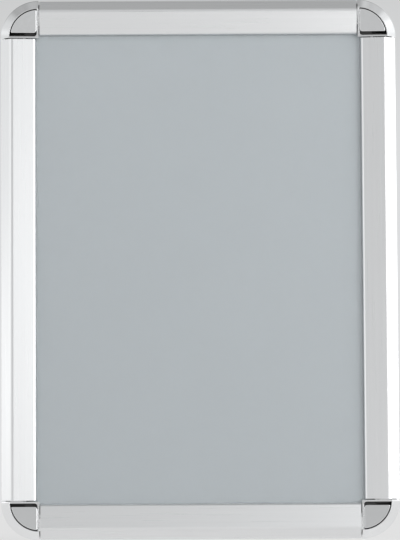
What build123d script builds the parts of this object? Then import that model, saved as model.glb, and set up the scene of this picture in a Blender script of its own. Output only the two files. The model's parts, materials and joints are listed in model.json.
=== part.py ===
from build123d import *
import math
import os

# Snap-open poster frame with rounded corners, for one A3 sheet, hung upright on a wall.
# Millimetres. +X is right, +Z is up, the front looks along -Y, and the back lies on the wall
# plane Y = 0. The origin is the middle of the four wall screw holes.
# Rail sections are drawn with "inset", inward from the frame's outer edge, and "height",
# forward from the wall. Corner pieces are drawn outward from the centre of the corner's arc.

# Sheet and outline
sheet_width = 297.0
sheet_height = 420.0
sheet_inset = 22.0
corner_radius = 33.0
frame_width = sheet_width + 2 * sheet_inset
frame_height = sheet_height + 2 * sheet_inset
overrun = 1.0

# Backing panel, poster gap and clear cover sheet, counted forward from the rails' ledges
ledge_height = 4.0
panel_thickness = 1.5
poster_gap = 0.2
cover_thickness = 0.5
panel_corner_radius = 1.0
cover_back = ledge_height + panel_thickness + poster_gap
cover_front = cover_back + cover_thickness

# Base rail: an aluminium extrusion with a hinge bead, a web, a spring rib and a ledge
outer_wall_inset = 2.3
outer_wall_thickness = 1.2
bead_radius = 1.6
bead_height = 6.0
bead_inset = outer_wall_inset + outer_wall_thickness / 2
web_thickness = 1.5
heel_round = 0.8
rib_inset = 20.0
rib_thickness = 1.4
rib_height = 7.5
groove_radius = 0.7
groove_height = 4.6
ledge_thickness = 1.2
foot_thickness = 1.2
base_width = corner_radius

# Front clip: an aluminium extrusion whose socket snaps over the bead and turns on it
clip_width = 30.5
clip_skin = 1.3
clip_end_gap = 0.9
clip_tip_gap = 0.3
ridge_inset = 9.5
ridge_height = 13.9
ridge_radius = 5.0
lip_height = 10.6
lip_radius = 2.4
edge_round = 0.35
socket_clearance = 0.05
socket_wall = 1.25
socket_bore = bead_radius + socket_clearance
socket_radius = socket_bore + socket_wall
mouth_first_angle = 150
mouth_last_angle = 298

# Heel of the clip: the lug under the socket that the bowed springs push on
heel_reach = 1.3
heel_root_depth = 0.7
heel_lower_angle = -66
heel_upper_angle = -50

# Bowed spring strips, sprung in between the heel and the groove in the rib
spring_thickness = 0.4
spring_length = 40.0
spring_bow = 2.8
spring_pitch_share = 0.31
spring_seat_radius = socket_radius + spring_thickness
spring_seat_angle = -42.5

# Corner block: a moulding with a sloping rim, two side walls, a floor and two legs
rim_skin = 1.3
rim_shoulder = 7.0
rim_shoulder_round = 2.2
rim_crest = 12.6
rim_crest_width = 0.7
rim_inner_radius = 25.2
rim_lip_depth = 3.6
rim_crest_radius = rim_inner_radius + rim_crest_width
rim_slope = (rim_crest - rim_shoulder) / (corner_radius - rim_crest_radius)
side_wall = 1.5
side_wall_low = 10.9
floor_thickness = 2.0
slot_clearance = 0.5
slot_roof = 1.5
slot_wall = 0.8
slot_reach = corner_radius - sheet_inset + slot_clearance
slot_top = cover_front + clip_tip_gap
slot_block = slot_reach + slot_wall
seat_height = slot_top + slot_roof
seat_width = 1.5
seat_end_gap = 1.2

# Legs of the corner block, which slide into the base rails and are screwed there
leg_length = 28.0
leg_width = 10.5
leg_thickness = 3.0
leg_lift = 0.1
leg_chamfer = 0.8
leg_offset = 19.75
leg_screw_offset = 14.0
leg_hole_radius = 1.45
leg_screw_inset = corner_radius - leg_offset

# Wall screw hole in the corner block's floor
wall_hole_radius = 2.25
wall_hole_offset = 15.0
wall_boss_radius = 4.4
wall_boss_height = 3.0

# Corner cap: a quadrant on two pegs that pulls off forward to reach the wall screw. Its flat face
# falls from the ends of its arc to its square corner. A wider gap along the side that faces the
# long rail takes the blade that lifts it.
cap_top = 13.1
cap_low = 11.5
cap_skin = 1.3
cap_arc_gap = 1.0
cap_side_gap = 0.25
cap_lift_gap = 2.9
cap_seat_gap = 0.1
cap_bevel = 0.7
cap_corner_round = 2.4
cap_tip_round = 0.8
cap_radius = rim_inner_radius - cap_arc_gap
cap_slope = (cap_top - cap_low) / cap_radius
cap_side = side_wall + cap_side_gap
cap_lift_side = side_wall + cap_lift_gap
cap_foot = seat_height + cap_seat_gap
peg_width = 3.0
peg_clearance = 0.05
peg_foot = 3.6
peg_wall = 1.4
peg_side_space = 2.9
peg_arc_space = 3.9
peg_near = cap_lift_side + peg_side_space
peg_far = cap_radius - peg_arc_space
peg_socket = peg_width + 2 * peg_clearance
peg_boss_width = peg_socket + 2 * peg_wall

# Countersunk self-tapping screws that hold the legs
screw_shank_radius = 1.4
screw_hole_radius = 1.6
screw_head_clearance = 0.15
screw_sink_angle = 90
screw_length = 4.3
screw_head_sunk = 0.05
screw_spread = math.tan(math.radians(screw_sink_angle / 2))
screw_sink_radius = screw_hole_radius + web_thickness * screw_spread
screw_head_radius = screw_sink_radius - screw_head_clearance
screw_head_depth = (screw_head_radius - screw_shank_radius) / screw_spread

os.makedirs("parts", exist_ok=True)


def save(piece, name):
    """Label a finished piece and write its file."""
    piece.label = name
    export_step(piece, f"parts/{name}.step")


def polar(centre, radius, angle):
    """The point at a radius and an angle in degrees around a centre."""
    turn = math.radians(angle)
    return (centre[0] + radius * math.cos(turn), centre[1] + radius * math.sin(turn))


# The four sides. Each section plane has its x inward, its y forward, and its z along the rail.
section_planes = {
    "top": Plane((0, 0, frame_height / 2), x_dir=(0, 0, -1), z_dir=(-1, 0, 0)),
    "bottom": Plane((0, 0, -frame_height / 2), x_dir=(0, 0, 1), z_dir=(1, 0, 0)),
    "left": Plane((-frame_width / 2, 0, 0), x_dir=(1, 0, 0), z_dir=(0, 0, -1)),
    "right": Plane((frame_width / 2, 0, 0), x_dir=(-1, 0, 0), z_dir=(0, 0, 1)),
}
rail_lengths = {
    "top": frame_width - 2 * corner_radius,
    "bottom": frame_width - 2 * corner_radius,
    "left": frame_height - 2 * corner_radius,
    "right": frame_height - 2 * corner_radius,
}
spring_places = {
    "top": (-1, 1),
    "bottom": (-1, 1),
    "left": (-1, 0, 1),
    "right": (-1, 0, 1),
}
bead_centre = (bead_inset, bead_height)

# Base rails, each cut square and butted against its two corner blocks
for side, plane in section_planes.items():
    screw_place = rail_lengths[side] / 2 - leg_screw_offset
    screw_planes = [
        Plane(
            plane.from_local_coords((leg_screw_inset, 0, place)),
            x_dir=plane.x_dir,
            z_dir=(0, 1, 0),
        )
        for place in (-screw_place, screw_place)
    ]
    with BuildPart() as base_rail:
        with BuildSketch(plane) as base_section:
            with Locations((outer_wall_inset, 0)):
                Rectangle(outer_wall_thickness, bead_height, align=(Align.MIN, Align.MIN))
                Rectangle(
                    rib_inset + rib_thickness - outer_wall_inset,
                    web_thickness,
                    align=(Align.MIN, Align.MIN),
                )
            fillet(base_section.vertices().group_by(Axis.Y)[0].sort_by(Axis.X)[0], heel_round)
            with Locations(bead_centre):
                Circle(bead_radius)
            with Locations((rib_inset, 0)):
                Rectangle(rib_thickness, rib_height, align=(Align.MIN, Align.MIN))
            with Locations((rib_inset, ledge_height)):
                Rectangle(base_width - rib_inset, ledge_thickness, align=(Align.MIN, Align.MAX))
            with Locations((base_width, 0)):
                Rectangle(foot_thickness, ledge_height, align=(Align.MAX, Align.MIN))
            with Locations((rib_inset, groove_height)):
                Circle(groove_radius, mode=Mode.SUBTRACT)
        extrude(amount=rail_lengths[side] / 2, both=True)
        with Locations(*screw_planes):
            CounterSinkHole(
                screw_hole_radius,
                screw_sink_radius,
                depth=web_thickness + overrun,
                counter_sink_angle=screw_sink_angle,
            )
    save(base_rail.part, f"base_rail_{side}")

# Front clips. The section is the outer skin, then the socket with its open mouth, then the heel.
clip_tip_height = cover_front + clip_tip_gap
clip_edge = polar(bead_centre, socket_radius, mouth_first_angle)
mouth_middle_angle = (mouth_first_angle + mouth_last_angle) / 2
mouth_angles = (mouth_first_angle, mouth_middle_angle, mouth_last_angle)
heel_outer = socket_radius + heel_reach
heel_root = socket_radius - heel_root_depth
for side, plane in section_planes.items():
    with BuildPart() as front_clip:
        with BuildSketch(plane) as clip_section:
            with BuildLine():
                FilletPolyline(
                    clip_edge,
                    (ridge_inset, ridge_height),
                    (clip_width, lip_height),
                    (clip_width, clip_tip_height),
                    radius=(ridge_radius, lip_radius),
                )
                offset(amount=clip_skin, side=Side.RIGHT)
            make_face()
            with Locations(bead_centre):
                Circle(socket_radius)
                Circle(socket_bore, mode=Mode.SUBTRACT)
            with BuildLine():
                mouth = [polar(bead_centre, 2 * socket_radius, angle) for angle in mouth_angles]
                Polyline(bead_centre, *mouth, close=True)
            make_face(mode=Mode.SUBTRACT)
            fillet(clip_section.vertices().sort_by(Axis.X)[0], edge_round)
            with BuildLine():
                Polyline(
                    polar(bead_centre, heel_root, mouth_last_angle),
                    polar(bead_centre, heel_outer, heel_lower_angle),
                    polar(bead_centre, heel_outer, heel_upper_angle),
                    polar(bead_centre, heel_root, heel_upper_angle),
                    close=True,
                )
            make_face()
        extrude(amount=rail_lengths[side] / 2 - clip_end_gap, both=True)
    save(front_clip.part, f"front_clip_{side}")

# Spring strips, two on a short rail and three on a long one
spring_outer_end = polar(bead_centre, spring_seat_radius, spring_seat_angle)
spring_inner_end = (rib_inset, groove_height)
for side, plane in section_planes.items():
    spring_pitch = rail_lengths[side] * spring_pitch_share
    with BuildPart() as snap_springs:
        for place in spring_places[side]:
            with BuildSketch(plane.offset(place * spring_pitch)):
                with BuildLine() as bow:
                    SagittaArc(spring_outer_end, spring_inner_end, spring_bow)
                trace(bow.edges(), line_width=spring_thickness)
            extrude(amount=spring_length / 2, both=True)
    save(snap_springs.part, f"snap_springs_{side}")

# Backing panel and clear cover sheet, both cut to the poster's size
with BuildPart() as backing_panel:
    with BuildSketch(Plane.XZ.offset(ledge_height)):
        RectangleRounded(sheet_width, sheet_height, panel_corner_radius)
    extrude(amount=panel_thickness)
save(backing_panel.part, "backing_panel")

with BuildPart() as cover_sheet:
    with BuildSketch(Plane.XZ.offset(cover_back)):
        RectangleRounded(sheet_width, sheet_height, panel_corner_radius)
    extrude(amount=cover_thickness)
save(cover_sheet.part, "cover_sheet")

# The top right corner. Its face plane has x to the right, y up and z forward from the wall. Its
# radial plane has x to the right and y forward, and its upright plane x up and y forward. All
# three start at the centre of the corner's arc.
corner_centre = (frame_width / 2 - corner_radius, 0, frame_height / 2 - corner_radius)
face_plane = Plane(corner_centre, x_dir=(1, 0, 0), z_dir=(0, -1, 0))
radial_plane = Plane(corner_centre, x_dir=(1, 0, 0), z_dir=(0, 0, -1))
upright_plane = Plane(corner_centre, x_dir=(0, 0, 1), z_dir=(1, 0, 0))
corner_axis = Axis(corner_centre, (0, -1, 0))
diagonal = Plane(corner_centre, z_dir=(1, 0, -1))
leg_base = web_thickness + leg_lift
rim_back = corner_radius - rim_skin
rim_lip_back = rim_inner_radius + rim_skin
rim_under = rim_shoulder - rim_skin * math.hypot(1, rim_slope)


def quadrant(radius, right, up):
    """A quarter disc that starts at right and up from the corner's two centre lines."""
    with BuildSketch() as shape:
        Circle(radius)
        with Locations((right, up)):
            Rectangle(radius, radius, align=(Align.MIN, Align.MIN), mode=Mode.INTERSECT)
    return shape.sketch


# Corner block: the pieces along one side first, then their mirror images, then the middle
with BuildPart() as corner_block:
    with BuildSketch(radial_plane):
        with BuildLine():
            FilletPolyline(
                (0, 0),
                (corner_radius, 0),
                (corner_radius, rim_shoulder),
                (rim_crest_radius, rim_crest),
                (0, side_wall_low),
                radius=(0, rim_shoulder_round, 0, 0, 0),
                close=True,
            )
        make_face()
    extrude(amount=-side_wall)
    with BuildSketch(face_plane.offset(floor_thickness)):
        with Locations((slot_reach, side_wall)):
            Rectangle(
                rim_inner_radius - seat_end_gap - slot_reach,
                seat_width,
                align=(Align.MIN, Align.MIN),
            )
        with Locations((peg_far, peg_near)):
            Rectangle(peg_boss_width, peg_boss_width)
    extrude(amount=seat_height - floor_thickness)
    with BuildSketch(face_plane.offset(leg_base)):
        with Locations((leg_offset, side_wall)):
            Rectangle(leg_width, leg_length + side_wall, align=(Align.CENTER, Align.MAX))
    extrude(amount=leg_thickness)
    leg_tip = corner_block.faces().filter_by(Axis.Z).sort_by(Axis.Z)[0]
    chamfer(leg_tip.edges(), leg_chamfer)
    with BuildSketch(face_plane):
        with Locations((leg_offset, -leg_screw_offset)):
            Circle(leg_hole_radius)
    extrude(amount=leg_base + leg_thickness + overrun, mode=Mode.SUBTRACT)
    with BuildSketch(face_plane.offset(peg_foot - cap_seat_gap)):
        with Locations((peg_far, peg_near)):
            Rectangle(peg_socket, peg_socket)
    extrude(amount=seat_height, mode=Mode.SUBTRACT)
    mirror(about=diagonal)
    with BuildSketch(face_plane):
        add(quadrant(corner_radius - rim_skin / 2, 0, 0))
    extrude(amount=floor_thickness)
    with BuildSketch(radial_plane):
        with BuildLine():
            FilletPolyline(
                (corner_radius, 0),
                (corner_radius, rim_shoulder),
                (rim_crest_radius, rim_crest),
                (rim_inner_radius, rim_crest),
                (rim_inner_radius, rim_crest - rim_lip_depth),
                (rim_lip_back, rim_crest - rim_lip_depth),
                (rim_lip_back, rim_under + rim_slope * (corner_radius - rim_lip_back)),
                (rim_back, rim_under + rim_slope * rim_skin),
                (rim_back, 0),
                radius=(0, rim_shoulder_round, 0, 0, 0, 0, 0, 0, 0),
                close=True,
            )
        make_face()
    revolve(axis=corner_axis, revolution_arc=90)
    with BuildSketch(face_plane):
        Rectangle(slot_block, slot_block, align=(Align.MIN, Align.MIN))
    extrude(amount=seat_height)
    with BuildSketch(face_plane):
        with Locations((wall_hole_offset, wall_hole_offset)):
            Circle(wall_boss_radius)
    extrude(amount=wall_boss_height)
    with BuildSketch(face_plane.offset(ledge_height)):
        with Locations((-overrun, -overrun)):
            Rectangle(slot_reach + overrun, slot_reach + overrun, align=(Align.MIN, Align.MIN))
    extrude(amount=slot_top - ledge_height, mode=Mode.SUBTRACT)
    with BuildSketch(face_plane):
        with Locations((wall_hole_offset, wall_hole_offset)):
            Circle(wall_hole_radius)
    extrude(amount=wall_boss_height, mode=Mode.SUBTRACT)
    inner_corner = face_plane.from_local_coords((side_wall, side_wall, rim_crest))
    corner_edge = corner_block.edges().filter_by(Axis.Y).sort_by_distance(inner_corner)[0]
    fillet(corner_edge, cap_corner_round + cap_side_gap)

# Hollow of the corner cap, up to a skin below its falling face
cap_face = Plane(face_plane.from_local_coords((0, 0, cap_low)), z_dir=(-cap_slope, -1, -cap_slope))
with BuildPart() as cap_hollow:
    with BuildSketch(face_plane.offset(cap_foot)):
        add(quadrant(cap_radius - cap_skin, cap_side + cap_skin, cap_lift_side + cap_skin))
    extrude(amount=cap_top)
    split(bisect_by=cap_face.offset(-cap_skin), keep=Keep.BOTTOM)

# Corner cap: the bevelled quadrant less its hollow, and two pegs
with BuildPart() as corner_cap:
    with BuildSketch(face_plane.offset(cap_foot)) as cap_outline:
        add(quadrant(cap_radius, cap_side, cap_lift_side))
        outline_ends = cap_outline.vertices().sort_by_distance((0, 0))
        fillet(outline_ends[0], cap_corner_round)
        fillet(outline_ends[1:], cap_tip_round)
    extrude(amount=cap_top)
    split(bisect_by=cap_face, keep=Keep.BOTTOM)
    chamfer(corner_cap.faces().sort_by(Axis.Y)[0].edges(), cap_bevel)
    add(cap_hollow.part, mode=Mode.SUBTRACT)
    with BuildSketch(face_plane.offset(peg_foot)):
        with Locations((peg_far, peg_near), (peg_near, peg_far)):
            Rectangle(peg_width, peg_width)
    extrude(amount=cap_low + cap_slope * (peg_far + peg_near) - cap_skin / 2 - peg_foot)

# Corner screws: a countersunk head and a plain shank for each leg
screw_axis = Axis(face_plane.from_local_coords((leg_offset, -leg_screw_offset, 0)), (0, -1, 0))
with BuildPart() as corner_screws:
    with BuildSketch(radial_plane.offset(leg_screw_offset)):
        with BuildLine():
            Polyline(
                (leg_offset, screw_head_sunk),
                (leg_offset + screw_head_radius, screw_head_sunk),
                (leg_offset + screw_shank_radius, screw_head_sunk + screw_head_depth),
                (leg_offset + screw_shank_radius, screw_length),
                (leg_offset, screw_length),
                close=True,
            )
        make_face()
    revolve(axis=screw_axis)
    mirror(about=diagonal)

# The other three corners are mirror images of the top right one
corner_pieces = {
    "corner_block": corner_block.part,
    "corner_cap": corner_cap.part,
    "corner_screws": corner_screws.part,
}
for name, piece in corner_pieces.items():
    top_left = mirror(piece, about=Plane.YZ)
    save(piece, f"{name}_top_right")
    save(top_left, f"{name}_top_left")
    save(mirror(piece, about=Plane.XY), f"{name}_bottom_right")
    save(mirror(top_left, about=Plane.XY), f"{name}_bottom_left")
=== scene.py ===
import json
import math

import bmesh
import bpy
from mathutils import Matrix, Quaternion, Vector

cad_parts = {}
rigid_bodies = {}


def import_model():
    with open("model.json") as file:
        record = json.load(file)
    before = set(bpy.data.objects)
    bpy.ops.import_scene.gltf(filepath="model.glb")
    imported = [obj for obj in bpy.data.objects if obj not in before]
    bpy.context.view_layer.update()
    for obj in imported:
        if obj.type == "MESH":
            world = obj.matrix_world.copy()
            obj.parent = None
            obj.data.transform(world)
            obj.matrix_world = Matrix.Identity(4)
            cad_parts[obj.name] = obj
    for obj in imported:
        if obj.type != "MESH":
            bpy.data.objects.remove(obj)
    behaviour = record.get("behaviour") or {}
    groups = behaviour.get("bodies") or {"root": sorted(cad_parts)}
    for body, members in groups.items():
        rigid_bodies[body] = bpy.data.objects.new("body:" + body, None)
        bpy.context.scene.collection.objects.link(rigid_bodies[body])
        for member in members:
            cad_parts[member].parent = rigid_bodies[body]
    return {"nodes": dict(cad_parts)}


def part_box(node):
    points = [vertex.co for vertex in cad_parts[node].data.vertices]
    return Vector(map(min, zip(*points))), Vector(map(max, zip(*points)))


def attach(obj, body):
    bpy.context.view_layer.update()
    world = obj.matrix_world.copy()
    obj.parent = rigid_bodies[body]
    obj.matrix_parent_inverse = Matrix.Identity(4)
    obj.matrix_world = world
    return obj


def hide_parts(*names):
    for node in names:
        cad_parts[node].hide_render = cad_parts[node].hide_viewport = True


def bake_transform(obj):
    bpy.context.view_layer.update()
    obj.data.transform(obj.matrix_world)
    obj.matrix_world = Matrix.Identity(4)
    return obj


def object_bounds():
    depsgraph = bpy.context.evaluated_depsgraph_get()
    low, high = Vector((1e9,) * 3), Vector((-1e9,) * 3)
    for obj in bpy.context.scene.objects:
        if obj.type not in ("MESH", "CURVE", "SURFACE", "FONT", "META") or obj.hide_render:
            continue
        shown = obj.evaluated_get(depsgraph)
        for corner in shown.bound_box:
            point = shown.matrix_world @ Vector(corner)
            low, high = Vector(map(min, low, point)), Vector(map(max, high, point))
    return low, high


# A snap-open poster frame with rounded corners, for one upright A3 sheet. Metres. +X is right,
# +Z is up, and the front looks along -Y. The back lies on the wall plane Y = 0.
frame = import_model()
cad_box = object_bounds()

# Camera. The frame is seen from in front, from 2.6 m and four degrees below its middle, and the
# view is turned by a third of a degree.
view_distance = 2.6
view_lens = 202.1
view_elevation = math.radians(-4.27)
view_azimuth = math.radians(-0.375)
view_roll = math.radians(-0.333)
view_target = Vector((0.0005, -0.007, -0.0017))
toward_camera = Vector((0, -math.cos(view_elevation), math.sin(view_elevation)))
toward_camera.rotate(Matrix.Rotation(view_azimuth, 3, "Z"))
camera = bpy.data.objects.new("camera", bpy.data.cameras.new("camera"))
bpy.context.scene.collection.objects.link(camera)
camera.data.lens = view_lens
camera.location = view_target + view_distance * toward_camera
camera.rotation_mode = "QUATERNION"
level_view = (-toward_camera).to_track_quat("-Z", "Y")
camera.rotation_quaternion = level_view @ Quaternion((0, 0, 1), view_roll)
bpy.context.scene.camera = camera
bpy.context.scene.view_settings.view_transform = "Standard"


# Studio. The room is pale, dimmer above, with a darker end behind the camera and lighter parts at
# the upper left, the upper right and half right. One soft lamp stands on the left, two on the
# right and one in front to the right. The floor is pale and matt.
def add_node(nodes, kind, **settings):
    """A shader node with its properties set."""
    node = nodes.new(kind)
    for name, value in settings.items():
        setattr(node, name, value)
    return node


def add_math(nodes, links, operation, *values):
    """The result of a math node on some values, each a socket or a number."""
    node = add_node(nodes, "ShaderNodeMath", operation=operation)
    for socket, value in zip(node.inputs, values):
        if isinstance(value, (int, float)):
            socket.default_value = value
        else:
            links.new(value, socket)
    return node.outputs[0]


def add_ramp(nodes, links, amount, stops):
    """The grey that a ramp gives at an amount. Each stop is a place on the ramp and its level."""
    ramp = add_node(nodes, "ShaderNodeValToRGB")
    ramp.color_ramp.interpolation = "EASE"
    points = ramp.color_ramp.elements
    while len(points) < len(stops):
        points.new(0.5)
    for point, (position, level) in zip(points, stops):
        point.position = position
        point.color = (level, level, level, 1)
    links.new(amount, ramp.inputs[0])
    return ramp.outputs[0]


room_strength = 24.1
room_tint = (0.985, 0.995, 1, 1)
# The levels from left to right and from below to above, where 0 and 1 are the two ends.
sideways_stops = (
    (0.0, 0.62), (0.2, 0.50), (0.4, 0.45), (0.46, 0.50), (0.55, 0.51), (0.62, 0.66), (0.8, 0.74),
    (1.0, 0.72),
)
upward_stops = (
    (0.0, 0.96), (0.3, 1.0), (0.45, 1.0), (0.5, 0.95), (0.555, 0.90), (0.59, 0.75), (0.65, 0.91),
    (0.72, 0.78), (0.84, 0.47), (0.90, 0.32), (0.96, 0.35), (1.0, 0.51),
)
# Each part of the room: the way towards its middle, and the levels at angles in degrees from it.
camera_end = (
    (90, 0.53), (62, 0.56), (54, 0.85), (38, 0.85), (29, 0.53), (13, 0.53), (7, 0.39),
)
room_parts = (
    (Vector((0, -0.996, 0.087)), camera_end),
    (Vector((-0.50, -0.25, 0.83)), ((32, 0.50), (16, 0.77), (0, 0.85))),
    (Vector((0.60, -0.23, 0.77)), ((34, 0.50), (18, 0.72), (0, 0.79))),
    (Vector((0.80, -0.59, 0.05)), ((32, 0.50), (16, 0.78), (0, 0.80))),
)
room = bpy.data.worlds.new("room")
bpy.context.scene.world = room
room.use_nodes = True
nodes = room.node_tree.nodes
links = room.node_tree.links
direction = add_node(nodes, "ShaderNodeTexCoord").outputs["Generated"]
axes = add_node(nodes, "ShaderNodeSeparateXYZ")
links.new(direction, axes.inputs[0])
strength = room_strength
for axis, stops in (("X", sideways_stops), ("Z", upward_stops)):
    share = add_math(nodes, links, "MULTIPLY_ADD", axes.outputs[axis], 0.5, 0.5)
    level = add_ramp(nodes, links, share, stops)
    strength = add_math(nodes, links, "MULTIPLY", level, strength)
for middle, levels in room_parts:
    facing = add_node(nodes, "ShaderNodeVectorMath", operation="DOT_PRODUCT")
    facing.inputs[1].default_value = middle
    links.new(direction, facing.inputs[0])
    stops = [(math.cos(math.radians(angle)), level) for angle, level in levels]
    level = add_ramp(nodes, links, facing.outputs["Value"], stops)
    strength = add_math(nodes, links, "MULTIPLY", level, strength)
links.new(strength, nodes["Background"].inputs["Strength"])
nodes["Background"].inputs["Color"].default_value = room_tint

# Each lamp's place, width and height, and glow. It faces the frame's middle.
soft_lamps = {
    "left_lamp": (Vector((-1.3, -0.45, -0.14)), (0.7, 0.50), 0.42),
    "right_lamp": (Vector((1.3, -0.45, -0.02)), (0.7, 0.60), 0.45),
    "half_right_lamp": (Vector((1.05, -0.80, -0.06)), (0.62, 1.05), 1.6),
    "front_lamp": (Vector((0.66, -1.15, -0.20)), (0.8, 1.0), 0.92),
}
for name, (stands_at, (width, height), glow) in soft_lamps.items():
    lamp = bpy.data.lights.new(name, "AREA")
    lamp.shape = "RECTANGLE"
    lamp.size = width
    lamp.size_y = height
    lamp.energy = glow * math.pi * width * height
    stand = bpy.data.objects.new(name, lamp)
    bpy.context.scene.collection.objects.link(stand)
    stand.location = stands_at
    stand.rotation_mode = "QUATERNION"
    stand.rotation_quaternion = (-stands_at).to_track_quat("-Z", "Y")

floor_reach = 4.0
floor_shade = (0.80, 0.80, 0.80, 1)
floor_roughness = 0.7
floor_glow = (0.85, 0.85, 0.85, 1)
floor_glow_share = 0.7
floor_mesh = bpy.data.meshes.new("floor")
bm = bmesh.new()
bmesh.ops.create_grid(bm, x_segments=1, y_segments=1, size=floor_reach)
bmesh.ops.translate(bm, verts=bm.verts, vec=(0, 0, cad_box[0].z))
bm.to_mesh(floor_mesh)
bm.free()
floor = bpy.data.objects.new("floor", floor_mesh)
bpy.context.scene.collection.objects.link(floor)
paint = bpy.data.materials.new("floor_paint")
paint.use_nodes = True
nodes = paint.node_tree.nodes
links = paint.node_tree.links
matt = nodes["Principled BSDF"]
matt.inputs["Base Color"].default_value = floor_shade
matt.inputs["Roughness"].default_value = floor_roughness
glow = add_node(nodes, "ShaderNodeEmission")
glow.inputs["Color"].default_value = floor_glow
ray = add_node(nodes, "ShaderNodeLightPath").outputs
seen = add_math(nodes, links, "ADD", ray["Is Camera Ray"], ray["Is Glossy Ray"])
seen = add_math(nodes, links, "ADD", seen, ray["Is Transmission Ray"])
glow_share = add_math(nodes, links, "MULTIPLY", seen, floor_glow_share)
both = add_node(nodes, "ShaderNodeMixShader")
links.new(glow_share, both.inputs[0])
links.new(matt.outputs[0], both.inputs[1])
links.new(glow.outputs[0], both.inputs[2])
links.new(both.outputs[0], nodes["Material Output"].inputs["Surface"])
floor.data.materials.append(paint)


# Front clips. Each is an extrusion of satin anodised aluminium, cut square. Its socket snaps over
# the base rail's bead and turns on it, and bowed springs push on the heel under the socket.
def verts_in(items):
    """The vertices among the items that an operator returned."""
    return [item for item in items if isinstance(item, bmesh.types.BMVert)]


def draw_to(bm, pen, point):
    """A straight edge from the pen's place to a point. Returns the pen there."""
    pen = bmesh.ops.extrude_vert_indiv(bm, verts=[pen])["verts"][0]
    pen.co = point
    return pen


def draw_arc(bm, pen, centre, angle, steps):
    """An arc of edges from the pen's place round a centre. Returns the pen at its end."""
    swept = bmesh.ops.spin(
        bm, geom=[pen], cent=centre, axis=(0, 0, 1), angle=angle, steps=steps, use_duplicate=False
    )
    return verts_in(swept["geom_last"])[0]


def draw_round(bm, pen, corner, beyond, radius, steps):
    """A straight edge towards a corner, then the round that turns there towards the next point."""
    came = (corner - pen.co).normalized()
    goes = (beyond - corner).normalized()
    turn = came.cross(goes).z
    angle = math.copysign(came.angle(goes), turn)
    start = corner - came * radius * math.tan(abs(angle) / 2)
    square = Vector((-came.y, came.x, 0)) * math.copysign(radius, turn)
    pen = draw_to(bm, pen, start)
    return draw_arc(bm, pen, start + square, angle, steps)


merge_gap = 1e-6


def pull_outline(bm, way):
    """The drawn outline filled, and extruded along a way into a closed shape."""
    bmesh.ops.remove_doubles(bm, verts=bm.verts, dist=merge_gap)
    face = bmesh.ops.contextual_create(bm, geom=bm.edges)["faces"][0]
    pulled = bmesh.ops.extrude_face_region(bm, geom=[face], use_keep_orig=True)["geom"]
    bmesh.ops.translate(bm, verts=verts_in(pulled), vec=way)
    bmesh.ops.recalc_face_normals(bm, faces=bm.faces)


def make_piece(bm, name, *materials):
    """An object of a finished bmesh, with its rounds smooth and its flats and corners crisp."""
    crisp_angle = math.radians(32)
    for face in bm.faces:
        face.smooth = True
    for edge in bm.edges:
        edge.smooth = edge.calc_face_angle(math.pi) < crisp_angle
    mesh = bpy.data.meshes.new(name)
    bm.to_mesh(mesh)
    bm.free()
    piece = bpy.data.objects.new(name, mesh)
    bpy.context.scene.collection.objects.link(piece)
    for material in materials:
        mesh.materials.append(material)
    normals = piece.modifiers.new("even_normals", "WEIGHTED_NORMAL")
    normals.keep_sharp = True
    normals.weight = 80
    return piece


def on_circle(centre, radius, angle):
    """The point at a radius and an angle in degrees round a centre of a section."""
    turn = math.radians(angle)
    return centre + radius * Vector((math.cos(turn), math.sin(turn), 0))


class Finish:
    """A piece's surface. Noises, in grains per metre, vary its colour, its gloss and its relief."""

    def __init__(self, name, metallic=0):
        self.material = bpy.data.materials.new(name)
        self.material.use_nodes = True
        self.nodes = self.material.node_tree.nodes
        self.links = self.material.node_tree.links
        self.surface = self.nodes["Principled BSDF"]
        self.surface.inputs["Metallic"].default_value = metallic
        self.spot = add_node(self.nodes, "ShaderNodeTexCoord").outputs["Object"]

    def noise(self, grains, detail=2.0, stretch=(1, 1, 1)):
        """A noise between 0 and 1, with its grains per metre stretched along the axes."""
        mapping = add_node(self.nodes, "ShaderNodeMapping")
        mapping.inputs["Scale"].default_value = stretch
        self.links.new(self.spot, mapping.inputs["Vector"])
        noise = add_node(self.nodes, "ShaderNodeTexNoise")
        noise.inputs["Scale"].default_value = grains
        noise.inputs["Detail"].default_value = detail
        self.links.new(mapping.outputs[0], noise.inputs["Vector"])
        return noise.outputs["Fac"]

    def reckon(self, operation, *values):
        """A value worked out from others."""
        return add_math(self.nodes, self.links, operation, *values)

    def colour(self, amount, dark, light):
        """The colour, which goes from dark to light with an amount."""
        mix = add_node(self.nodes, "ShaderNodeMix", data_type="RGBA")
        mix.inputs["A"].default_value = (*dark, 1)
        mix.inputs["B"].default_value = (*light, 1)
        self.links.new(amount, mix.inputs["Factor"])
        self.links.new(mix.outputs["Result"], self.surface.inputs["Base Color"])

    def spread(self, quality, low, high, amount, amount_low=0.0, amount_high=1.0):
        """A quality of the surface, which goes from low to high as an amount does."""
        spread = add_node(self.nodes, "ShaderNodeMapRange")
        spread.inputs["From Min"].default_value = amount_low
        spread.inputs["From Max"].default_value = amount_high
        spread.inputs["To Min"].default_value = low
        spread.inputs["To Max"].default_value = high
        self.links.new(amount, spread.inputs["Value"])
        self.links.new(spread.outputs["Result"], self.surface.inputs[quality])

    def relief(self, height, strength, depth):
        """Fine bumps that follow a height."""
        bump = add_node(self.nodes, "ShaderNodeBump")
        bump.inputs["Strength"].default_value = strength
        bump.inputs["Distance"].default_value = depth
        self.links.new(height, bump.inputs["Height"])
        self.links.new(bump.outputs[0], self.surface.inputs["Normal"])


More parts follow.
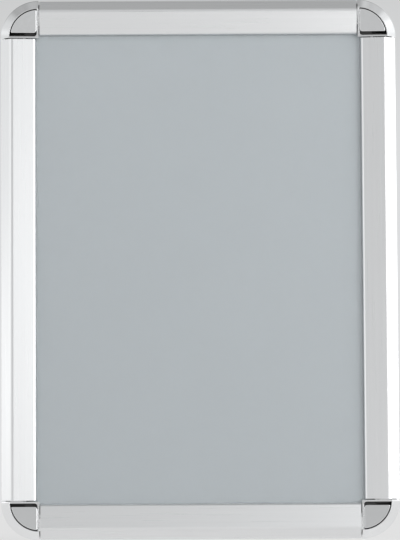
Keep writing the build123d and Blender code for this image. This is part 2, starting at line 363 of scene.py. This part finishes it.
def satin_aluminium(name, silver, lines_across, run):
    """Etched and anodised aluminium, with faint die lines that run level or upright."""
    lines_along = 12
    etch_grains = 2600
    wide_share = 0.16
    dark_share = 0.955
    light_share = 1.02
    finish = Finish(name, metallic=1)
    lines = [lines_across, lines_across, lines_across]
    lines[0 if run == "level" else 2] = lines_along
    die_lines = finish.noise(grains=1, detail=3, stretch=lines)
    wide_bands = finish.noise(grains=1, stretch=[wide_share * part for part in lines])
    etch = finish.noise(etch_grains)
    dark = [dark_share * channel for channel in silver]
    light = [min(light_share * channel, 1) for channel in silver]
    finish.colour(wide_bands, dark, light)
    finish.spread(
        "Roughness", low=0.27, high=0.34, amount=die_lines, amount_low=0.3, amount_high=0.7
    )
    finish.relief(finish.reckon("ADD", die_lines, etch), strength=0.12, depth=0.00003)
    return finish.material


half_width = cad_box[1].x
half_height = cad_box[1].z
# Each side's section has its x inward, its y forward from the wall, and its z along the rail.
side_places = {
    "top": Matrix(((0, 0, -1, 0), (0, -1, 0, 0), (-1, 0, 0, half_height), (0, 0, 0, 1))),
    "bottom": Matrix(((0, 0, 1, 0), (0, -1, 0, 0), (1, 0, 0, -half_height), (0, 0, 0, 1))),
    "left": Matrix(((1, 0, 0, -half_width), (0, -1, 0, 0), (0, 0, -1, 0), (0, 0, 0, 1))),
    "right": Matrix(((-1, 0, 0, half_width), (0, -1, 0, 0), (0, 0, 1, 0), (0, 0, 0, 1))),
}
side_runs = {"top": "level", "bottom": "level", "left": "upright", "right": "upright"}

bead_centre = Vector((0.0029, 0.0060, 0))
socket_bore = 0.00165
socket_radius = 0.0029
clip_skin = 0.0013
clip_width = 0.0305
clip_tip_height = 0.0065
ridge = Vector((0.0095, 0.0139, 0))
ridge_radius = 0.0050
lip_height = 0.0106
lip_radius = 0.0024
edge_round = 0.00035
mouth_start = 150
mouth_end = -62
heel_radius = socket_radius + 0.0013
heel_root = socket_radius - 0.0007
heel_lower = -66
heel_upper = -50
lip = Vector((clip_width, lip_height, 0))
tip = Vector((clip_width, clip_tip_height, 0))
clip_edge = on_circle(bead_centre, socket_radius, mouth_start)

# The skin's inner face runs parallel to its outer face, a skin's thickness inside it.
slope_way = (ridge - clip_edge).normalized()
face_way = (lip - ridge).normalized()
slope_in = clip_skin * Vector((slope_way.y, -slope_way.x, 0))
face_in = clip_skin * Vector((face_way.y, -face_way.x, 0))
ridge_turn = slope_way.angle(face_way)
inner_ridge = ridge + slope_in + slope_way * clip_skin * -math.tan(ridge_turn / 2)
inner_lip_x = clip_width - clip_skin
inner_lip = ridge + face_in + face_way * ((inner_lip_x - ridge.x - face_in.x) / face_way.x)
skin_space = (bead_centre - clip_edge - slope_in).dot(slope_in) / clip_skin
skin_turn = math.atan2(-slope_in.y, -slope_in.x) - math.acos(skin_space / socket_radius)
skin_join = math.degrees(skin_turn)
skin_root = on_circle(bead_centre, socket_radius, skin_join)

clip_silver = (0.86, 0.865, 0.87)
clip_die_lines = 2200
clip_metals = {}
for run in ("level", "upright"):
    clip_metals[run] = satin_aluminium(f"clip_metal_{run}", clip_silver, clip_die_lines, run)
for side, place in side_places.items():
    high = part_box(f"front_clip_{side}")[1]
    half_length = high.x if side_runs[side] == "level" else high.z
    bm = bmesh.new()
    pen = bm.verts.new(on_circle(bead_centre, socket_bore, mouth_start))
    pen = draw_round(bm, pen, clip_edge, ridge, edge_round, steps=4)
    pen = draw_round(bm, pen, ridge, lip, ridge_radius, steps=16)
    pen = draw_round(bm, pen, lip, tip, lip_radius, steps=14)
    pen = draw_to(bm, pen, tip)
    pen = draw_to(bm, pen, tip - Vector((clip_skin, 0, 0)))
    pen = draw_round(bm, pen, inner_lip, inner_ridge, lip_radius - clip_skin, steps=10)
    pen = draw_round(bm, pen, inner_ridge, skin_root, ridge_radius - clip_skin, steps=12)
    pen = draw_to(bm, pen, skin_root)
    pen = draw_arc(bm, pen, bead_centre, math.radians(heel_upper - skin_join), steps=20)
    pen = draw_to(bm, pen, on_circle(bead_centre, heel_radius, heel_upper))
    pen = draw_to(bm, pen, on_circle(bead_centre, heel_radius, heel_lower))
    pen = draw_to(bm, pen, on_circle(bead_centre, heel_root, mouth_end))
    pen = draw_to(bm, pen, on_circle(bead_centre, socket_bore, mouth_end))
    draw_arc(bm, pen, bead_centre, math.radians(mouth_start - mouth_end), steps=36)
    pull_outline(bm, (0, 0, 2 * half_length))
    bmesh.ops.translate(bm, verts=bm.verts, vec=(0, 0, -half_length))
    bmesh.ops.transform(bm, matrix=place, verts=bm.verts)
    clip = make_piece(bm, f"clip_{side}", clip_metals[side_runs[side]])
    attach(clip, f"{side}_clip")
    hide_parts(f"front_clip_{side}")


# Corner blocks. Each is one chrome plated moulding: a sloping rim, two side walls, a floor with
# the slot that holds the sheets' corner, sockets for the cap's pegs, and two legs that slide into
# the base rails. Inside the pocket the faces are painted near black, a painted shade for the
# recess.
def chrome(name, rough_low, rough_high, tint):
    """Bright plating on a moulding, with a slightly uneven gloss and a long shallow waviness."""
    haze_grains = 260
    wave_grains = 70
    dark_share = 0.97
    finish = Finish(name, metallic=1)
    haze = finish.noise(haze_grains, detail=4)
    wave = finish.noise(wave_grains, detail=1)
    finish.colour(haze, [dark_share * channel for channel in tint], tint)
    finish.spread("Roughness", rough_low, rough_high, haze, amount_low=0.35, amount_high=0.65)
    finish.relief(wave, strength=0.25, depth=0.0001)
    return finish.material


def close_outline(bm, pen):
    """The last edge of an outline, from the pen's place back to its first point."""
    bm.verts.ensure_lookup_table()
    bm.edges.new((pen, bm.verts[0]))


def whole(bm):
    """All vertices, edges and faces of a shape."""
    return bm.verts[:] + bm.edges[:] + bm.faces[:]


def both_ways(bm):
    """A shape made on a corner's plan, together with its mirror image across the corner."""
    copied = bmesh.ops.duplicate(bm, geom=whole(bm))["geom"]
    swap = Matrix(((0, 1, 0, 0), (1, 0, 0, 0), (0, 0, 1, 0), (0, 0, 0, 1)))
    bmesh.ops.transform(bm, matrix=swap, verts=verts_in(copied))
    return bm


def box_between(low, high):
    """A box between two corners."""
    bm = bmesh.new()
    bmesh.ops.create_cube(bm, size=1)
    size = Vector(high) - Vector(low)
    bmesh.ops.scale(bm, verts=bm.verts, vec=size)
    bmesh.ops.translate(bm, verts=bm.verts, vec=Vector(low) + size / 2)
    return bm


def round_post(centre, radius, low, high):
    """A round post that stands on a corner's plan."""
    bm = bmesh.new()
    bmesh.ops.create_cone(
        bm, cap_ends=True, segments=48, radius1=radius, radius2=radius, depth=high - low
    )
    bmesh.ops.translate(bm, verts=bm.verts, vec=(*centre, (low + high) / 2))
    return bm


def bevel_edges(bm, edges, size, segments):
    """A chamfer along some edges, or with more segments a round."""
    bmesh.ops.bevel(
        bm, geom=edges, offset=size, segments=segments, profile=0.5, affect="EDGES", material=-1
    )


def loose_shape(group, bm):
    """A shape kept as an object in a group, until combine uses it up."""
    bmesh.ops.recalc_face_normals(bm, faces=bm.faces)
    mesh = bpy.data.meshes.new("loose_shape")
    bm.to_mesh(mesh)
    bm.free()
    shape = bpy.data.objects.new("loose_shape", mesh)
    group.objects.link(shape)
    return shape


def combine(bm, group, operation):
    """The union or difference of a shape with all the loose shapes of a group."""
    base = loose_shape(bpy.context.scene.collection, bm)
    bpy.context.scene.collection.children.link(group)
    joint = base.modifiers.new("combine", "BOOLEAN")
    joint.operation = operation
    joint.solver = "EXACT"
    joint.operand_type = "COLLECTION"
    joint.collection = group
    graph = bpy.context.evaluated_depsgraph_get()
    mesh = bpy.data.meshes.new_from_object(base.evaluated_get(graph))
    combined = bmesh.new()
    combined.from_mesh(mesh)
    bmesh.ops.remove_doubles(combined, verts=combined.verts, dist=merge_gap)
    for used in (mesh, base.data, *(shape.data for shape in group.objects)):
        bpy.data.meshes.remove(used)
    bpy.data.collections.remove(group)
    return combined


corner_radius = 0.033
rim_skin = 0.0013
rim_shoulder = 0.0070
rim_shoulder_round = 0.0022
rim_crest = 0.0126
rim_inner_radius = 0.0252
rim_crest_radius = rim_inner_radius + 0.0007
rim_crest_round = 0.00022
rim_lip_depth = 0.0036
rim_slope = (rim_crest - rim_shoulder) / (corner_radius - rim_crest_radius)
rim_under = rim_shoulder - rim_skin * math.hypot(1, rim_slope)
side_wall = 0.0015
side_wall_low = 0.0109
side_wall_round = 0.00022
wall_end = (rim_inner_radius + rim_crest_radius) / 2
inner_round = 0.00265
floor_thickness = 0.0020
slot_reach = 0.0115
slot_back = 0.0040
slot_front = 0.0065
slot_block = 0.0123
seat_height = 0.0080
seat_end = 0.0240
seat_width = 0.0015
peg_near = 0.0073
peg_far = 0.0203
peg_boss_width = 0.0059
peg_socket_width = 0.0031
peg_socket_foot = 0.0035
leg_width = 0.0105
leg_base = 0.0016
leg_top = 0.0046
leg_length = 0.028
leg_chamfer = 0.0008
leg_offset = 0.01975
leg_screw_offset = 0.014
leg_hole_radius = 0.00145
wall_hole_offset = 0.015
wall_hole_radius = 0.00225
wall_boss_radius = 0.0044
wall_boss_height = 0.0030

# The rim: its section, drawn with x outward and y forward, is spun a quarter turn about the arc.
bm = bmesh.new()
pen = bm.verts.new((corner_radius, 0, 0))
shoulder = Vector((corner_radius, rim_shoulder, 0))
crest_outside = Vector((rim_crest_radius, rim_crest, 0))
crest_inside = Vector((rim_inner_radius, rim_crest, 0))
lip_inside = Vector((rim_inner_radius, rim_crest - rim_lip_depth, 0))
pen = draw_round(bm, pen, shoulder, crest_outside, rim_shoulder_round, steps=12)
pen = draw_round(bm, pen, crest_outside, crest_inside, rim_crest_round, steps=5)
pen = draw_round(bm, pen, crest_inside, lip_inside, rim_crest_round, steps=5)
pen = draw_to(bm, pen, lip_inside)
lip_back = rim_inner_radius + rim_skin
pen = draw_to(bm, pen, (lip_back, rim_crest - rim_lip_depth, 0))
pen = draw_to(bm, pen, (lip_back, rim_under + rim_slope * (corner_radius - lip_back), 0))
pen = draw_to(bm, pen, (corner_radius - rim_skin, rim_under + rim_slope * rim_skin, 0))
pen = draw_to(bm, pen, (corner_radius - rim_skin, 0, 0))
close_outline(bm, pen)
bmesh.ops.rotate(bm, verts=bm.verts, matrix=Matrix.Rotation(math.pi / 2, 3, "X"))
bmesh.ops.spin(
    bm, geom=bm.verts[:] + bm.edges[:], cent=(0, 0, 0), axis=(0, 0, 1), angle=math.pi / 2, steps=56
)
bmesh.ops.holes_fill(bm, edges=bm.edges, sides=0)
rim = bm

# The two side walls stand square to each other, and their tops fall towards the square corner.
moulded_on = bpy.data.collections.new("moulded_on")
bm = bmesh.new()
wall_corner = Vector((side_wall, side_wall, 0))
pen = bm.verts.new((0, 0, 0))
pen = draw_to(bm, pen, (wall_end, 0, 0))
pen = draw_to(bm, pen, (wall_end, side_wall, 0))
pen = draw_round(bm, pen, wall_corner, Vector((side_wall, wall_end, 0)), inner_round, steps=12)
pen = draw_to(bm, pen, (side_wall, wall_end, 0))
pen = draw_to(bm, pen, (0, wall_end, 0))
close_outline(bm, pen)
pull_outline(bm, (0, 0, rim_crest))
bmesh.ops.bisect_plane(
    bm, geom=whole(bm), dist=merge_gap / 10, plane_co=(0, 0, 0), plane_no=(1, -1, 0)
)
wall_top = [vert for vert in bm.verts if vert.co.z > rim_crest / 2]
for vert in wall_top:
    rise = max(vert.co.x, vert.co.y) / rim_crest_radius
    vert.co.z = side_wall_low + (rim_crest - side_wall_low) * rise
top_faces = {face for face in bm.faces if all(vert in wall_top for vert in face.verts)}
wall_rims = [edge for edge in bm.edges if len(top_faces.intersection(edge.link_faces)) == 1]
bevel_edges(bm, wall_rims, side_wall_round, segments=3)
loose_shape(moulded_on, bm)

# The floor, the block round the sheets' slot, the cap's seats and peg sockets, the legs and the
# boss round the wall screw.
bm = round_post((0, 0), corner_radius - rim_skin / 2, 0, floor_thickness)
for way in ((1, 0, 0), (0, 1, 0)):
    cut = bmesh.ops.bisect_plane(
        bm, geom=whole(bm), dist=merge_gap / 10, plane_co=(0, 0, 0), plane_no=way, clear_inner=True
    )
    cut_edges = [item for item in cut["geom_cut"] if isinstance(item, bmesh.types.BMEdge)]
    bmesh.ops.holes_fill(bm, edges=cut_edges, sides=0)
loose_shape(moulded_on, bm)
loose_shape(moulded_on, box_between((0, 0, 0), (slot_block, slot_block, seat_height)))
seat_low = (slot_reach, side_wall / 2, floor_thickness / 2)
seat_high = (seat_end, side_wall + seat_width, seat_height)
loose_shape(moulded_on, both_ways(box_between(seat_low, seat_high)))
boss_half = peg_boss_width / 2
boss_low = (peg_far - boss_half, peg_near - boss_half, floor_thickness / 2)
boss_high = (peg_far + boss_half, peg_near + boss_half, seat_height)
loose_shape(moulded_on, both_ways(box_between(boss_low, boss_high)))
leg_low = (leg_offset - leg_width / 2, -leg_length, leg_base)
leg_high = (leg_offset + leg_width / 2, side_wall / 2, leg_top)
leg = box_between(leg_low, leg_high)
tip_edges = [edge for edge in leg.edges if all(vert.co.y < -leg_length / 2 for vert in edge.verts)]
bevel_edges(leg, tip_edges, leg_chamfer, segments=1)
loose_shape(moulded_on, both_ways(leg))
wall_hole = (wall_hole_offset, wall_hole_offset)
loose_shape(moulded_on, round_post(wall_hole, wall_boss_radius, 0, wall_boss_height))
moulding = combine(rim, moulded_on, "UNION")

cut_beyond = 0.001
hollows = bpy.data.collections.new("hollows")
slot_low = (-cut_beyond, -cut_beyond, slot_back)
loose_shape(hollows, box_between(slot_low, (slot_reach, slot_reach, slot_front)))
socket_half = peg_socket_width / 2
socket_low = (peg_far - socket_half, peg_near - socket_half, peg_socket_foot)
socket_high = (peg_far + socket_half, peg_near + socket_half, seat_height + cut_beyond)
loose_shape(hollows, both_ways(box_between(socket_low, socket_high)))
leg_hole = (leg_offset, -leg_screw_offset)
leg_drill = round_post(leg_hole, leg_hole_radius, 0, leg_top + cut_beyond)
loose_shape(hollows, both_ways(leg_drill))
wall_drill = round_post(wall_hole, wall_hole_radius, -cut_beyond, wall_boss_height + cut_beyond)
loose_shape(hollows, wall_drill)
moulding = combine(moulding, hollows, "DIFFERENCE")

# The chrome reaches a little way down from the rim's and the walls' tops; below it the pocket is
# painted shade.
plating_depth = 0.0012
hair = 1e-5
for face in moulding.faces:
    middle = face.calc_center_median()
    reach = math.hypot(middle.x, middle.y)
    wall_top_there = side_wall_low + (rim_crest - side_wall_low) * reach / rim_crest_radius
    rim_top_there = rim_crest + rim_slope * (rim_crest_radius - reach)
    painted_shade_below = min(wall_top_there, rim_top_there) - plating_depth
    inside_walls = min(middle.x, middle.y) > side_wall - hair
    inside_rim = reach < corner_radius - rim_skin / 2
    # Faces deep in the pocket take the near-black painted shade.
    if inside_walls and inside_rim and hair < middle.z < painted_shade_below:
        face.material_index = 1

# Each corner's sides, as signs of x and z.
corner_sides = {
    "top_right": (1, 1),
    "top_left": (-1, 1),
    "bottom_right": (1, -1),
    "bottom_left": (-1, -1),
}
arc_centre = Vector((half_width - corner_radius, 0, half_height - corner_radius))


def set_in_corner(bm, right, up):
    """A copy of a shape that was made on the top right corner's plan, in one of the corners."""
    placed = bm.copy()
    turn = Matrix(((right, 0, 0, 0), (0, 0, -1, 0), (0, up, 0, 0), (0, 0, 0, 1)))
    bmesh.ops.transform(placed, matrix=turn, verts=placed.verts)
    bmesh.ops.translate(
        placed, verts=placed.verts, vec=(right * arc_centre.x, 0, up * arc_centre.z)
    )
    if right * up < 0:
        bmesh.ops.reverse_faces(placed, faces=placed.faces)
    return placed


plating_tint = (0.93, 0.935, 0.94)
block_chrome = chrome("block_chrome", rough_low=0.06, rough_high=0.12, tint=plating_tint)
# The pocket's near-black colour is painted shade, standing in for the dark inside the recess.
pocket_painted_shade_dark = (0.0245, 0.0245, 0.0245)
pocket_painted_shade_light = (0.035, 0.035, 0.035)
pocket_shade_finish = Finish("pocket_painted_shade")
pocket_shade_grain = pocket_shade_finish.noise(grains=1800)
pocket_shade_finish.colour(pocket_shade_grain, pocket_painted_shade_dark, pocket_painted_shade_light)
pocket_shade_finish.surface.inputs["Roughness"].default_value = 0.55
pocket_shade_finish.relief(pocket_shade_grain, strength=0.3, depth=0.00005)
for corner, (right, up) in corner_sides.items():
    placed = set_in_corner(moulding, right, up)
    block = make_piece(placed, f"block_{corner}", block_chrome, pocket_shade_finish.material)
    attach(block, "frame")
    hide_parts(f"corner_block_{corner}")
moulding.free()


# Corner caps. Each is a small chrome plated quadrant with a bevelled rim and a hollow back. Two
# square pegs hold it in the block's sockets, and it pulls off forward over a wall screw.
cap_radius = 0.0242
cap_low = 0.0115
cap_top = 0.01305
cap_foot = 0.0081
cap_slope = (cap_top - cap_low) / cap_radius
cap_skin = 0.0013
cap_side = 0.00175
cap_lift_side = 0.0044
cap_bevel = 0.00035
cap_corner_round = 0.0024
cap_tip_round = 0.0008
peg_width = 0.0030
peg_foot = 0.0036
peg_chamfer = 0.0004

# Its outline on the corner's plan has two straight sides and an arc, with small rounds at the
# arc's ends and a larger one at the square corner. Its face falls towards that corner.
bm = bmesh.new()
tip_reach = cap_radius - cap_tip_round
upper_tip_x = cap_side + cap_tip_round
upper_tip = Vector((upper_tip_x, math.sqrt(tip_reach ** 2 - upper_tip_x ** 2), 0))
side_tip_y = cap_lift_side + cap_tip_round
side_tip = Vector((math.sqrt(tip_reach ** 2 - side_tip_y ** 2), side_tip_y, 0))
upper_angle = math.atan2(upper_tip.y, upper_tip.x)
side_angle = math.atan2(side_tip.y, side_tip.x)
pen = bm.verts.new((cap_side, upper_tip.y, 0))
pen = draw_arc(bm, pen, upper_tip, upper_angle - math.pi, steps=8)
pen = draw_arc(bm, pen, Vector((0, 0, 0)), side_angle - upper_angle, steps=44)
pen = draw_arc(bm, pen, side_tip, -math.pi / 2 - side_angle, steps=8)
cap_corner = Vector((cap_side, cap_lift_side, 0))
beyond_corner = Vector((cap_side, upper_tip.y, 0))
pen = draw_round(bm, pen, cap_corner, beyond_corner, cap_corner_round, steps=12)
close_outline(bm, pen)
pull_outline(bm, (0, 0, cap_top))
bmesh.ops.translate(bm, verts=bm.verts, vec=(0, 0, cap_foot))
crown = [vert for vert in bm.verts if vert.co.z > cap_foot + cap_top / 2]
for vert in crown:
    vert.co.z = cap_low + cap_slope * (vert.co.x + vert.co.y)
face_rim = [edge for edge in bm.edges if all(vert in crown for vert in edge.verts)]
bevel_edges(bm, face_rim, cap_bevel, segments=3)

# The back is hollowed out to an even skin, and the pegs start inside that skin.
back = min(bm.faces, key=lambda face: face.calc_center_median().z)
bmesh.ops.inset_region(bm, faces=[back], thickness=cap_skin, use_even_offset=True)
hollow = bmesh.ops.extrude_face_region(bm, geom=[back])["geom"]
bmesh.ops.delete(bm, geom=[back], context="FACES_ONLY")
for vert in verts_in(hollow):
    vert.co.z = cap_low - cap_skin + cap_slope * (vert.co.x + vert.co.y)
bmesh.ops.recalc_face_normals(bm, faces=bm.faces)
peg_half = peg_width / 2
peg_head = cap_low - cap_skin / 2 + cap_slope * (peg_near + peg_far)
for x, y in ((peg_far, peg_near), (peg_near, peg_far)):
    peg_low = (x - peg_half, y - peg_half, peg_foot)
    peg = box_between(peg_low, (x + peg_half, y + peg_half, peg_head))
    peg_tip = [edge for edge in peg.edges if all(vert.co.z < cap_foot for vert in edge.verts)]
    bevel_edges(peg, peg_tip, peg_chamfer, segments=1)
    peg_mesh = bpy.data.meshes.new("peg")
    peg.to_mesh(peg_mesh)
    peg.free()
    bm.from_mesh(peg_mesh)
    bpy.data.meshes.remove(peg_mesh)
cap_chrome = chrome("cap_chrome", rough_low=0.05, rough_high=0.11, tint=plating_tint)
for corner, (right, up) in corner_sides.items():
    cap = make_piece(set_in_corner(bm, right, up), f"cap_{corner}", cap_chrome)
    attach(cap, f"{corner}_cap")
    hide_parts(f"corner_cap_{corner}")
bm.free()


# Base rails. Each is an extrusion of satin anodised aluminium with a hinge bead, a web, a grooved
# spring rib, a ledge and a foot. Two countersunk holes in its back take the corner screws.
def draw_corners(bm, pen, points, radius):
    """Straight edges through a row of slightly rounded corners, up to the last point."""
    for corner, beyond in zip(points, points[1:]):
        pen = draw_round(bm, pen, Vector((*corner, 0)), Vector((*beyond, 0)), radius, steps=3)
    return draw_to(bm, pen, (*points[-1], 0))


outer_wall_inset = 0.0023
outer_wall_thickness = 0.0012
bead_radius = 0.0016
web_thickness = 0.0015
heel_round = 0.0008
rib_inset = 0.0200
rib_far = 0.0214
rib_height = 0.0075
groove_radius = 0.0007
groove_height = 0.0046
ledge_height = 0.0040
ledge_under = 0.0028
base_width = 0.0330
foot_inset = 0.0318
die_round = 0.00015
screw_inset = 0.01325
screw_end_space = 0.014
sink_radius = 0.0031
sink_beyond = 0.0003
bead_join = math.degrees(math.asin(outer_wall_thickness / 2 / bead_radius))

base_silver = (0.80, 0.805, 0.81)
base_die_lines = 1900
base_metals = {}
for run in ("level", "upright"):
    base_metals[run] = satin_aluminium(f"base_metal_{run}", base_silver, base_die_lines, run)
foot_and_rib = (
    (rib_far, 0), (rib_far, ledge_under), (foot_inset, ledge_under), (foot_inset, 0),
    (base_width, 0), (base_width, ledge_height), (rib_far, ledge_height), (rib_far, rib_height),
    (rib_inset, rib_height), (rib_inset, groove_height + groove_radius),
)
channel = (
    (rib_inset, web_thickness), (outer_wall_inset + outer_wall_thickness, web_thickness),
    on_circle(bead_centre, bead_radius, bead_join - 90).xy,
)
heel = Vector((outer_wall_inset, 0, 0))
for side, place in side_places.items():
    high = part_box(f"base_rail_{side}")[1]
    half_length = high.x if side_runs[side] == "level" else high.z
    bm = bmesh.new()
    pen = bm.verts.new((screw_inset, 0, 0))
    pen = draw_corners(bm, pen, foot_and_rib, die_round)
    pen = draw_arc(bm, pen, Vector((rib_inset, groove_height, 0)), -math.pi, steps=10)
    pen = draw_corners(bm, pen, channel, die_round)
    pen = draw_arc(bm, pen, bead_centre, math.radians(360 - 2 * bead_join), steps=40)
    pen = draw_round(bm, pen, heel, Vector((rib_far, 0, 0)), heel_round, steps=6)
    close_outline(bm, pen)
    pull_outline(bm, (0, 0, 2 * half_length))
    bmesh.ops.translate(bm, verts=bm.verts, vec=(0, 0, -half_length))
    sinks = bpy.data.collections.new("sinks")
    for end in (-1, 1):
        sink = bmesh.new()
        bmesh.ops.create_cone(
            sink, cap_ends=True, segments=48, radius1=sink_radius + sink_beyond,
            radius2=sink_radius - web_thickness - sink_beyond,
            depth=web_thickness + 2 * sink_beyond,
        )
        bmesh.ops.rotate(sink, verts=sink.verts, matrix=Matrix.Rotation(-math.pi / 2, 3, "X"))
        hole = Vector((screw_inset, web_thickness / 2, end * (half_length - screw_end_space)))
        bmesh.ops.translate(sink, verts=sink.verts, vec=hole)
        loose_shape(sinks, sink)
    bm = combine(bm, sinks, "DIFFERENCE")
    bmesh.ops.transform(bm, matrix=place, verts=bm.verts)
    rail = make_piece(bm, f"rail_{side}", base_metals[side_runs[side]])
    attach(rail, "frame")
    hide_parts(f"base_rail_{side}")


# Springs. Each is a strip of rolled spring steel, bowed between the groove in the rib and the
# clip's heel.
def rolled_steel(name, shade, grains, roughness):
    """Cold rolled or plated steel with a mottled sheen."""
    dark_share = 0.86
    gloss_swing = 0.08
    finish = Finish(name, metallic=1)
    mottle = finish.noise(grains, detail=5)
    finish.colour(mottle, [dark_share * channel for channel in shade], shade)
    finish.spread("Roughness", roughness - gloss_swing, roughness + gloss_swing, mottle)
    finish.relief(mottle, strength=0.2, depth=0.00003)
    return finish.material


strip_half = 0.0002
strip_length = 0.040
strip_bow = 0.0028
strip_steps = 28
strip_seat_angle = -42.5
strip_seat = on_circle(bead_centre, socket_radius + 2 * strip_half, strip_seat_angle)
strip_root = Vector((rib_inset, groove_height, 0))
strip_middles = {"level": (-0.08525, 0.08525), "upright": (-0.12338, 0, 0.12338)}
spring_shade = (0.60, 0.61, 0.63)
spring_steel = rolled_steel("spring_steel", spring_shade, grains=900, roughness=0.32)

# The strip's middle line is an arc. Its two faces lie half a thickness either side of it.
chord = strip_root - strip_seat
arc_radius = (chord.length ** 2 / 4 + strip_bow ** 2) / (2 * strip_bow)
chord_square = Vector((-chord.y, chord.x, 0)).normalized()
arc_middle = strip_seat + chord / 2 - chord_square * (arc_radius - strip_bow)
arc_angle = 2 * math.asin(chord.length / 2 / arc_radius)
seatward = (strip_seat - arc_middle).normalized()
rootward = (strip_root - arc_middle).normalized()
for side, place in side_places.items():
    bm = bmesh.new()
    pen = bm.verts.new(arc_middle + seatward * (arc_radius + strip_half))
    pen = draw_arc(bm, pen, arc_middle, -arc_angle, strip_steps)
    pen = draw_to(bm, pen, arc_middle + rootward * (arc_radius - strip_half))
    pen = draw_arc(bm, pen, arc_middle, arc_angle, strip_steps)
    close_outline(bm, pen)
    pull_outline(bm, (0, 0, strip_length))
    first_strip = whole(bm)
    first_middle, *other_middles = strip_middles[side_runs[side]]
    for middle in other_middles:
        copied = bmesh.ops.duplicate(bm, geom=first_strip)["geom"]
        bmesh.ops.translate(bm, verts=verts_in(copied), vec=(0, 0, middle - first_middle))
    bmesh.ops.translate(bm, verts=bm.verts, vec=(0, 0, first_middle - strip_length / 2))
    bmesh.ops.transform(bm, matrix=place, verts=bm.verts)
    strips = make_piece(bm, f"springs_{side}", spring_steel)
    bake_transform(strips)
    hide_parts(f"snap_springs_{side}")


# Corner screws. Each corner has two countersunk self-tapping screws with a cross recess, zinc
# plated, driven from the back through the base rails into the block's legs.
screw_sunk = 0.00005
screw_head = 0.00295
screw_shank = 0.0014
screw_neck = screw_sunk + screw_head - screw_shank
screw_length = 0.0043
screw_edge_round = 0.00012
recess_reach = 0.0016
recess_half = 0.0003
recess_depth = 0.0013
recess_taper = 0.35
recess_turn = math.radians(25)
zinc_shade = (0.70, 0.705, 0.70)
zinc = rolled_steel("zinc_plating", zinc_shade, grains=1400, roughness=0.28)

bm = bmesh.new()
pen = bm.verts.new((0, screw_sunk, 0))
screw_side = (
    (screw_head, screw_sunk), (screw_shank, screw_neck), (screw_shank, screw_length),
    (0, screw_length),
)
pen = draw_corners(bm, pen, screw_side, screw_edge_round)
bmesh.ops.rotate(bm, verts=bm.verts, matrix=Matrix.Rotation(math.pi / 2, 3, "X"))
bmesh.ops.spin(
    bm, geom=bm.verts[:] + bm.edges[:], cent=(0, 0, 0), axis=(0, 0, 1), angle=2 * math.pi, steps=40,
    use_merge=True,
)
bmesh.ops.remove_doubles(bm, verts=bm.verts, dist=merge_gap)
bmesh.ops.translate(bm, verts=bm.verts, vec=(*leg_hole, 0))

# The cross recess is cut by two bars that are square to each other and taper inward.
recesses = bpy.data.collections.new("recesses")
for long_way, reach in enumerate(((recess_reach, recess_half), (recess_half, recess_reach))):
    recess = box_between((-reach[0], -reach[1], -cut_beyond), (*reach, recess_depth))
    for vert in recess.verts:
        if vert.co.z > 0:
            vert.co[long_way] *= recess_taper
    bmesh.ops.rotate(recess, verts=recess.verts, matrix=Matrix.Rotation(recess_turn, 3, "Z"))
    bmesh.ops.translate(recess, verts=recess.verts, vec=(*leg_hole, 0))
    loose_shape(recesses, both_ways(recess))
screw_pair = combine(both_ways(bm), recesses, "DIFFERENCE")
for corner, (right, up) in corner_sides.items():
    screws = make_piece(set_in_corner(screw_pair, right, up), f"screws_{corner}", zinc)
    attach(screws, "frame")
    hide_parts(f"corner_screws_{corner}")
screw_pair.free()


# Backing panel. A flat sheet of matt, cool grey polystyrene, which rests on the base rails'
# ledges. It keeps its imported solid.
panel_dark = (0.540, 0.574, 0.598)
panel_light = (0.570, 0.604, 0.628)
cloud_share = 0.7
grain_share = 0.3
panel_finish = Finish("panel_plastic")
cloud = panel_finish.noise(grains=9, detail=3)
panel_grain = panel_finish.noise(grains=2400)
speckle = panel_finish.reckon("MULTIPLY", panel_grain, grain_share)
mottle = panel_finish.reckon("MULTIPLY_ADD", cloud, cloud_share, speckle)
panel_finish.colour(mottle, panel_dark, panel_light)
panel_finish.surface.inputs["Roughness"].default_value = 0.6
panel_finish.relief(panel_grain, strength=0.15, depth=0.00003)
panel = frame["nodes"]["backing_panel"]
panel.data.materials.clear()
panel.data.materials.append(panel_finish.material)


# Cover sheet. Half a millimetre of clear plastic, with an anti-glare front that scatters a soft
# sheen over the panel behind it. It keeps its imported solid.
cover_tint = (0.66, 0.70, 0.72, 1)
cover_finish = Finish("clear_plastic")
cover_finish.surface.inputs["Base Color"].default_value = cover_tint
cover_finish.surface.inputs["IOR"].default_value = 1.8
cover_grain = cover_finish.noise(grains=3200)
cover_finish.spread("Alpha", low=0.22, high=0.28, amount=cover_grain)
cover_finish.spread("Roughness", low=0.22, high=0.30, amount=cover_grain)
cover = frame["nodes"]["cover_sheet"]
cover.data.materials.clear()
cover.data.materials.append(cover_finish.material)
